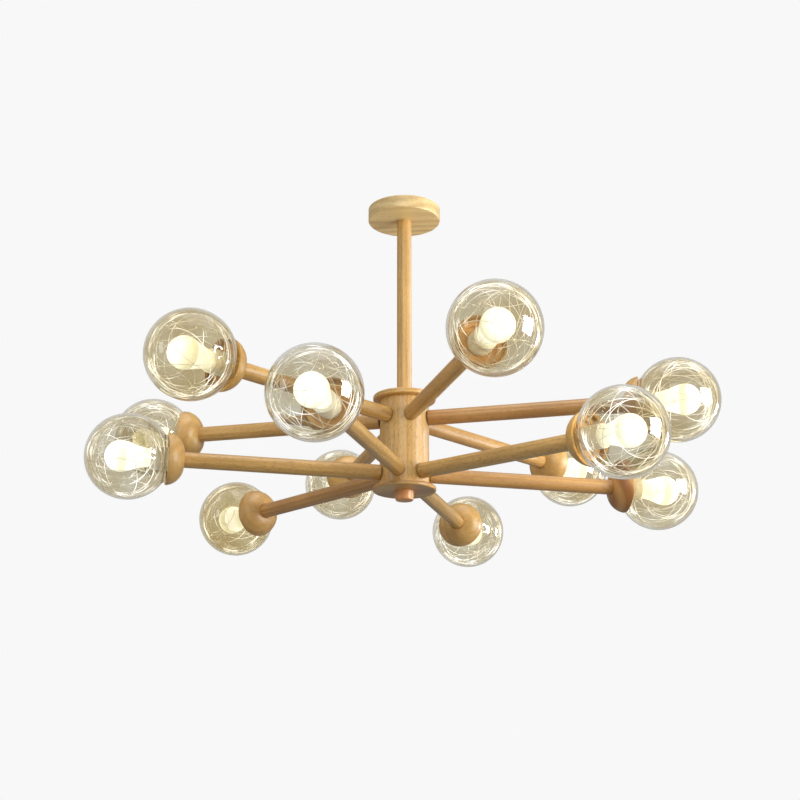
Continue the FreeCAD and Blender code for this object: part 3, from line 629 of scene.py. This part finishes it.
def bulb_outline():
    """Half the section of a bulb, from the contact at its back to the tip of its dome."""
    points = [(CAP_BACK, 0), (CAP_BACK, CONTACT_RADIUS), (CONTACT_END, CONTACT_RADIUS),
              (INSULATOR_END, INSULATOR_RADIUS), (THREAD_START, CAP_RADIUS - THREAD_DEPTH)]
    for thread in range(THREADS):
        ridge = THREAD_START + thread * THREAD_STEP
        points += [(ridge + THREAD_STEP * 0.3, CAP_RADIUS), (ridge + THREAD_STEP * 0.6, CAP_RADIUS),
                   (ridge + THREAD_STEP, CAP_RADIUS - THREAD_DEPTH)]
    points += [(COLLAR[0], CAP_RADIUS), COLLAR,
               (COLLAR[0] + COLLAR_LENGTH, COLLAR[1] + COLLAR_FLARE), WAIST,
               (WAIST[0] + RING_LINE, WAIST[1] - RING_LINE), (WAIST[0] + 2 * RING_LINE, WAIST[1]),
               (DOME_JOIN[0] - RING_LINE, DOME_JOIN[1]),
               (DOME_JOIN[0], DOME_JOIN[1] - RING_LINE), DOME_JOIN]
    sweep = 90 + math.degrees(math.asin((DOME_MIDDLE - DOME_JOIN[0]) / DOME_RADIUS))
    return points + [(DOME_MIDDLE, 0, sweep, DOME_STEPS)]


def opal_glow(name, place, back, front, dim, bright):
    """Lit opal plastic: warm white, brighter from its back to its front, with a faint cloud."""
    finish, tree, shader, here = new_finish(name)
    at = {"Vector": here, "Location": place.translation, "Rotation": place.to_euler()}
    own = add(tree, "Mapping", at, vector_type="TEXTURE").outputs["Vector"]
    forward = add(tree, "SeparateXYZ", {0: own}).outputs["X"]
    cloud = add(tree, "TexNoise", {"Vector": own, **OPAL_CLOUD}).outputs["Fac"]
    rise = add(tree, "MapRange", {"Value": forward, "From Min": back, "From Max": front}).outputs["Result"]
    glow = spread(tree, rise, dim, bright)
    uneven = spread(tree, cloud, *OPAL_UNEVEN)
    mottled = add(tree, "Math", {0: glow, 1: uneven}, operation="MULTIPLY").outputs[0]
    tree.links.new(mottled, shader.inputs["Emission Strength"])
    tree.links.new(ramp(tree, rise, *OPAL_LIGHT), shader.inputs["Emission Color"])
    tree.links.new(ramp(tree, cloud, *OPAL_PLASTIC), shader.inputs["Base Color"])
    shader.inputs["Roughness"].default_value = OPAL_ROUGHNESS
    return finish


for name, place in PLACES.items():
    power = BRIGHTER.get(name, 1.0)
    # The body is no lamp: its glow is painted light, brighter towards the dome.
    body = opal_glow(f"bulb_body_painted_glow_{name}", place, COLLAR[0], DOME_JOIN[0],
                     *[power * glow for glow in BODY_PAINTED_GLOW])
    dome = opal_glow(f"bulb_dome_{name}", place, DOME_MIDDLE, DOME_MIDDLE + DOME_RADIUS,
                     *[power * glow for glow in DOME_GLOW])
    lamp = turn(bulb_outline(), closed=False)
    for face in lamp.faces:
        at_x = face.calc_center_median().x
        face.material_index = 0 if at_x < COLLAR[0] else 1 if at_x < DOME_JOIN[0] else 2
    bulb = piece(f"lit_bulb_{name}", lamp, place, [BRASS, body, dome], f"bulb_{name}",
                 f"bulb_{name}")
print("bulb faces:", len(bulb.data.polygons))

# %% [markdown]
# Each globe is lined with hand wound wire that carries tiny lights. It is drawn as two strands, whose loops
# lean and drift round the ball by a few slow waves, so that no two loops cross at the same place.
# The main strand is the winding of the solids. The wall strand is wound about a line towards the side that
# the photograph was taken from, so its loops lie near the rim from there, and keep off the neck.
# A curve with a round bevel draws each strand. Small bends from a noise field make it look wound by hand.
# That field starts from the clock unless it is given a seed, so one is set. The lights are beads on the main
# strand. The glow along the wire itself is painted glints.

# %% Fairy wires
LOOP_POINTS = 40
WOBBLE = 0.0014
WOBBLE_SIZE = 0.06
WOBBLE_SEED = 7
WOBBLE_DRIFT = 50
WOBBLE_SHIFT = 3.1
TILT_WAVE = 0.11
SPREAD_WAVE, SPREAD_START = 0.17, 1.0
ROLL_EACH = math.radians(137.5)
LIGHT_EVERY = 29
LIGHT_RADIUS = 0.0008
# Painted glints along the wire, which gives no light itself: their patches, range and colour.
PAINTED_GLINT_PATCHES = {"Scale": 28.0, "Detail": 2.0}
PAINTED_GLINT_FROM, PAINTED_GLINT_FULL, PAINTED_GLINT_LEAST = 0.46, 0.64, 0.05
PAINTED_GLINT_COLOUR = (0.92, 0.97, 1.15, 1.0)
SILVER_TONES = (0.3, (0.7, 0.67, 0.58)), (0.7, (0.95, 0.94, 0.88))
SILVER_METAL, SILVER_SHINE = 0.25, (0.25, 0.4)
BEAD_TONES = (0.3, (0.9, 0.85, 0.7)), (0.7, (1.0, 0.97, 0.88))
BEAD_CLOUD, BEAD_GLOW = 300.0, (1.0, 2.5)
BEAD_LIGHT = (1.0, 0.97, 0.82, 1.0)
MAIN_STRAND = {"loops": 12, "turns_by": -151, "tilt": 52, "tilt_swing": 6,
               "spread": 76, "spread_swing": 6,
               "outer_ball": 0.0715, "shrinks": 0.0014, "radius": 0.00038}
WALL_STRAND = {"loops": 7, "turns_by": 137.5, "tilt": 21, "tilt_swing": 15,
               "spread": 73, "spread_swing": 11,
               "outer_ball": 0.0718, "shrinks": 0.0009, "radius": 0.00042}
OUTWARD = Vector((1, 0, 0))
PHOTO_SIDE = Vector((0, -0.94, -0.34))
NECK_CLEAR = math.radians(34)


def winding_axis(turned):
    """The rotation from a globe's own X to the line that its wall strand is wound about,
    which leans from the photograph's side towards the way out along the arm."""
    facing = turned.to_3x3().transposed() @ PHOTO_SIDE
    if facing.x < 0:
        facing.negate()
    return OUTWARD.rotation_difference(facing + OUTWARD / 2).to_matrix()


def winding_point(strand, loop, axis):
    """A point of a strand after that many loops about an axis, from the globe's centre, off the neck."""
    angle = FULL_TURN * loop
    around = math.radians(strand["turns_by"]) * loop
    tilt = math.radians(strand["tilt"] + strand["tilt_swing"] * math.sin(TILT_WAVE * angle))
    leaning = axis @ Matrix.Rotation(around, 3, "X") @ Matrix.Rotation(tilt, 3, "Z")
    swing = math.sin(SPREAD_WAVE * angle + SPREAD_START)
    wide = math.radians(strand["spread"] + strand["spread_swing"] * swing)
    wide = min(wide, leaning.col[0].angle(-OUTWARD) - NECK_CLEAR)
    circle = Vector((math.cos(wide), math.sin(wide) * math.cos(angle), math.sin(wide) * math.sin(angle)))
    return (strand["outer_ball"] - strand["shrinks"] * loop) * (leaning @ circle)


def wound_path(strand, shift, axis):
    """A strand with the small bends of a hand wound wire, kept inside its own ball."""
    path = []
    for step in range(strand["loops"] * LOOP_POINTS + 1):
        point = winding_point(strand, step / LOOP_POINTS, axis)
        drift = Vector((shift, 0, step / WOBBLE_DRIFT))
        bend = noise.noise_vector(point / WOBBLE_SIZE + drift) * WOBBLE
        path.append((point + bend).normalized() * point.length)
    return path


def wire_mesh(path, radius, slot):
    """A round wire along a path, as a mesh read from a bevelled curve, with one of the finishes."""
    curve = bpy.data.curves.new("wire", "CURVE")
    curve.dimensions = "3D"
    curve.bevel_depth = radius
    curve.bevel_resolution = 1
    curve.use_fill_caps = True
    curve.resolution_u = 2
    spline = curve.splines.new("NURBS")
    spline.points.add(len(path) - 1)
    for point, here in zip(spline.points, path):
        point.co = (*here, 1.0)
    spline.order_u = 3
    spline.use_endpoint_u = True
    drawn = bpy.data.objects.new("wire", curve)
    mesh = bpy.data.meshes.new_from_object(drawn)
    bpy.data.objects.remove(drawn)
    bpy.data.curves.remove(curve)
    mesh.polygons.foreach_set("material_index", [slot] * len(mesh.polygons))
    return mesh


def wire_with_painted_glints(name, brightest):
    """Fine silvery wire. It gives no light itself: its patchy glow is painted glints, for the light that it
    catches from its own beads, and its silver is paler in the same patches.
    """
    finish, tree, shader, here = new_finish(name)
    painted_glint = add(tree, "TexNoise", {"Vector": here, **PAINTED_GLINT_PATCHES}).outputs["Fac"]
    lit = {"Value": painted_glint, "From Min": PAINTED_GLINT_FROM, "From Max": PAINTED_GLINT_FULL,
           "To Min": PAINTED_GLINT_LEAST, "To Max": brightest}
    silver = ramp(tree, painted_glint, *SILVER_TONES)
    tree.links.new(silver, shader.inputs["Base Color"])
    shader.inputs["Metallic"].default_value = SILVER_METAL
    tree.links.new(spread(tree, painted_glint, *SILVER_SHINE), shader.inputs["Roughness"])
    shader.inputs["Emission Color"].default_value = PAINTED_GLINT_COLOUR
    tree.links.new(add(tree, "MapRange", lit).outputs["Result"], shader.inputs["Emission Strength"])
    return finish


def light_bead(name):
    """A tiny lit bead, a little uneven in its glow."""
    finish, tree, shader, here = new_finish(name)
    cloud = add(tree, "TexNoise", {"Vector": here, "Scale": BEAD_CLOUD}).outputs["Fac"]
    warm = ramp(tree, cloud, *BEAD_TONES)
    tree.links.new(warm, shader.inputs["Base Color"])
    shader.inputs["Emission Color"].default_value = BEAD_LIGHT
    tree.links.new(spread(tree, cloud, *BEAD_GLOW), shader.inputs["Emission Strength"])
    return finish


# The strength of the painted glints on the wall strand and on the main strand.
WALL_PAINTED_GLINT, MAIN_PAINTED_GLINT = 1.9, 0.8
WIRES = [wire_with_painted_glints("fairy_wire_at_wall", WALL_PAINTED_GLINT), wire_with_painted_glints("fairy_wire_inside", MAIN_PAINTED_GLINT)]
BEAD = light_bead("fairy_light")
noise.seed_set(WOBBLE_SEED)
for number, (name, place) in enumerate(PLACES.items()):
    rolled = place @ Matrix.Rotation(ROLL_EACH * number, 4, "X")
    winding = bmesh.new()
    strands = (WALL_STRAND, winding_axis(rolled)), (MAIN_STRAND, Matrix.Identity(3))
    for slot, (strand, axis) in enumerate(strands):
        path = wound_path(strand, WOBBLE_SHIFT * number, axis)
        wound = wire_mesh(path, strand["radius"], slot)
        winding.from_mesh(wound)
        bpy.data.meshes.remove(wound)
    for point in path[LIGHT_EVERY::LIGHT_EVERY]:
        set_at = Matrix.Translation(point * (1 - LIGHT_RADIUS / 2 / point.length))
        beads = bmesh.ops.create_icosphere(winding, subdivisions=1, radius=LIGHT_RADIUS, matrix=set_at)
        for face in {face for vert in beads["verts"] for face in vert.link_faces}:
            face.material_index = len(WIRES)
    wire = piece(f"fairy_winding_{name}", winding, rolled, [*WIRES, BEAD], f"globe_{name}",
                 f"fairy_wire_{name}", crease=60)
print("winding faces:", len(wire.data.polygons))

# %% [markdown]
# The studio is plain and pale. The sky is one even white where the camera looks, straight or through glass,
# and a graded grey for everything else, so that the wood keeps its shading and the glass its dark rim.
# Satin surfaces mirror less of that sky above them and more below, as over a pale floor.
# A large soft box stands to the right, and a second one in the same place shines only on the globes,
# which makes the white window in each of them. A small one behind gives a glint. Weaker ones stand at the
# left and in front, and a wide one hangs overhead. Two more light only the canopy from below, and only the
# edge of the stem and hub. No soft box shows through the glass.
# The floor lies far below, has a sun of its own, and throws no light back up.

# %% Studio
BACKDROP_WHITE = 0.939
SKY_ABOVE, SKY_BELOW = (0.58, 0.58, 0.58), (0.19, 0.185, 0.175)
SKY_IN_SATIN, FLOOR_IN_SATIN, SKY_IN_GLASS = 0.42, 1.6, 1.25
NADIR, LEVEL, ZENITH = 0.1, 0.5, 0.9
FLOOR_HEIGHT = -3.4
FLOOR_RADIUS = 120.0
FLOOR_SIDES = 96
FLOOR_SUN = 1.6
FLOOR_SUN_ANGLE = math.pi / 2
LAMP_AIM = Vector((0, 0, -0.45))


def soft_box(name, place, width, height, watts, colour):
    """A rectangular lamp that faces the object and doesn't show through glass."""
    lamp_data = bpy.data.lights.new(name, "AREA")
    lamp_data.shape = "RECTANGLE"
    lamp_data.size = width
    lamp_data.size_y = height
    lamp_data.energy = watts
    lamp_data.color = colour
    lamp_object = bpy.data.objects.new(name, lamp_data)
    lamp_object.location = place
    lamp_object.rotation_euler = (LAMP_AIM - Vector(place)).to_track_quat("-Z", "Y").to_euler()
    lamp_object.visible_transmission = False
    scene.collection.objects.link(lamp_object)
    return lamp_object


def studio_sky():
    """A white backdrop for the eye, and a graded grey sky for light and reflections."""
    world = bpy.data.worlds.new("studio")
    world.use_nodes = True
    scene.world = world
    tree = world.node_tree
    upward = add(tree, "SeparateXYZ", {0: add(tree, "TexCoord").outputs["Generated"]}).outputs["Z"]
    rise = add(tree, "MapRange", {"Value": upward, "From Min": -1.0, "From Max": 1.0}).outputs["Result"]
    sky = tree.nodes["Background"]
    tree.links.new(ramp(tree, rise, (NADIR, SKY_BELOW), (ZENITH, SKY_ABOVE)), sky.inputs["Color"])
    white = add(tree, "Background", {"Color": (1, 1, 1, 1), "Strength": BACKDROP_WHITE})
    path = add(tree, "LightPath").outputs
    shine = add(tree, "MapRange", {"Value": rise, "From Min": NADIR, "From Max": LEVEL,
                                   "To Min": FLOOR_IN_SATIN, "To Max": SKY_IN_SATIN}).outputs["Result"]
    satin = spread(tree, path["Is Glossy Ray"], 1.0, shine)
    mirrored = spread(tree, path["Is Singular Ray"], satin, SKY_IN_GLASS)
    tree.links.new(mirrored, sky.inputs["Strength"])
    seen = add(tree, "Math", {0: path["Is Camera Ray"], 1: path["Is Transmission Ray"]},
               operation="MAXIMUM")
    both = add(tree, "MixShader", {0: seen.outputs[0], 1: sky.outputs[0], 2: white.outputs[0]})
    tree.links.new(both.outputs[0], tree.nodes["World Output"].inputs["Surface"])


def pale_floor():
    """A wide pale floor with a faint cloud, well below the light. It throws no light back up at the wood."""
    bm = bmesh.new()
    bmesh.ops.create_circle(bm, cap_ends=True, segments=FLOOR_SIDES, radius=FLOOR_RADIUS)
    bmesh.ops.translate(bm, verts=bm.verts, vec=(0, 0, FLOOR_HEIGHT))
    mesh = bpy.data.meshes.new("floor")
    bm.to_mesh(mesh)
    bm.free()
    mesh.materials.append(moulded("floor_paint", (0.86, 0.86, 0.85), (0.83, 0.83, 0.82), 0.7, 0.85))
    floor = bpy.data.objects.new("floor", mesh)
    floor.visible_diffuse = False
    floor.visible_glossy = False
    scene.collection.objects.link(floor)
    return floor


def light_only(lamp_object, lit):
    """Lets a lamp shine on some objects and on nothing else."""
    only = bpy.data.collections.new(f"lit_by_{lamp_object.name}")
    for each in lit:
        only.objects.link(each)
    lamp_object.light_linking.receiver_collection = only


studio_sky()
floor_sun = bpy.data.objects.new("floor_sun", bpy.data.lights.new("floor_sun", "SUN"))
floor_sun.data.energy = FLOOR_SUN
floor_sun.data.angle = FLOOR_SUN_ANGLE
scene.collection.objects.link(floor_sun)
light_only(floor_sun, [pale_floor()])
soft_box("window_right", (2.3, -0.9, -0.4), 1.2, 1.2, 61, (1.0, 0.985, 0.96))
glint = soft_box("window_behind", (2.3, 0.95, -0.5), 0.4, 0.5, 24, (1.0, 1.0, 0.98))
glint.visible_diffuse = False
window_in_glass = soft_box("window_in_glass", (2.25, -0.88, -0.4), 1.2, 1.2, 75, (1.0, 0.99, 0.98))
light_only(window_in_glass, [bpy.data.objects[f"glass_globe_{name}"] for name in ARM_NAMES])
soft_box("fill_left", (-2.4, -1.3, -0.2), 0.5, 0.9, 6, (0.96, 0.98, 1.0))
soft_box("overhead", (0.3, -0.6, 2.4), 2.4, 2.4, 34, (1.0, 1.0, 1.0))
soft_box("front", (-0.5, -3.4, 0.5), 1.6, 1.6, 22, (1.0, 0.99, 0.97))
up_light = soft_box("up_at_canopy", (0.3, 0.0, -1.6), 0.9, 0.9, 15.0, (1.0, 0.98, 0.88))
edge_light = soft_box("edge_of_stem", (2.3, 0.95, 0.6), 0.6, 1.0, 13, (0.8, 0.97, 1.25))
edge_light.visible_diffuse = False
light_only(up_light, [frame["nodes"]["canopy"]])
light_only(edge_light, [frame["nodes"][node] for node in ("stem", "hub_body", "hub_top_flange")])
scene.view_settings.view_transform = "Standard"

# %% [markdown]
# The bulbs are lit, so the wood round them is brighter. A small lamp in each bulb gives that light.
# The bulb itself would shut it in, so only the wooden pieces are named as what throws its shadows.

# %% Light of the bulbs
BULB_WATTS = 0.11
BULB_WARM = (1.0, 0.93, 0.74)
BULB_LAMP_RADIUS = 0.012

shades = bpy.data.collections.new("shades_of_the_bulbs")
for wooden in [node for node in frame["nodes"] if node.startswith(("arm_", "hub_", "stem", "canopy"))]:
    shades.objects.link(frame["nodes"][wooden])
for name, place in PLACES.items():
    shades.objects.link(bpy.data.objects[f"wood_cup_{name}"])
    glow = bpy.data.lights.new(f"glow_{name}", "POINT")
    glow.energy = BULB_WATTS
    glow.color = BULB_WARM
    glow.shadow_soft_size = BULB_LAMP_RADIUS
    glow_lamp = bpy.data.objects.new(f"glow_{name}", glow)
    glow_lamp.location = place @ Vector((DOME_MIDDLE, 0, 0))
    glow_lamp.visible_glossy = False
    glow_lamp.visible_transmission = False
    glow_lamp.light_linking.blocker_collection = shades
    scene.collection.objects.link(glow_lamp)
print("lit bulbs:", len(PLACES))
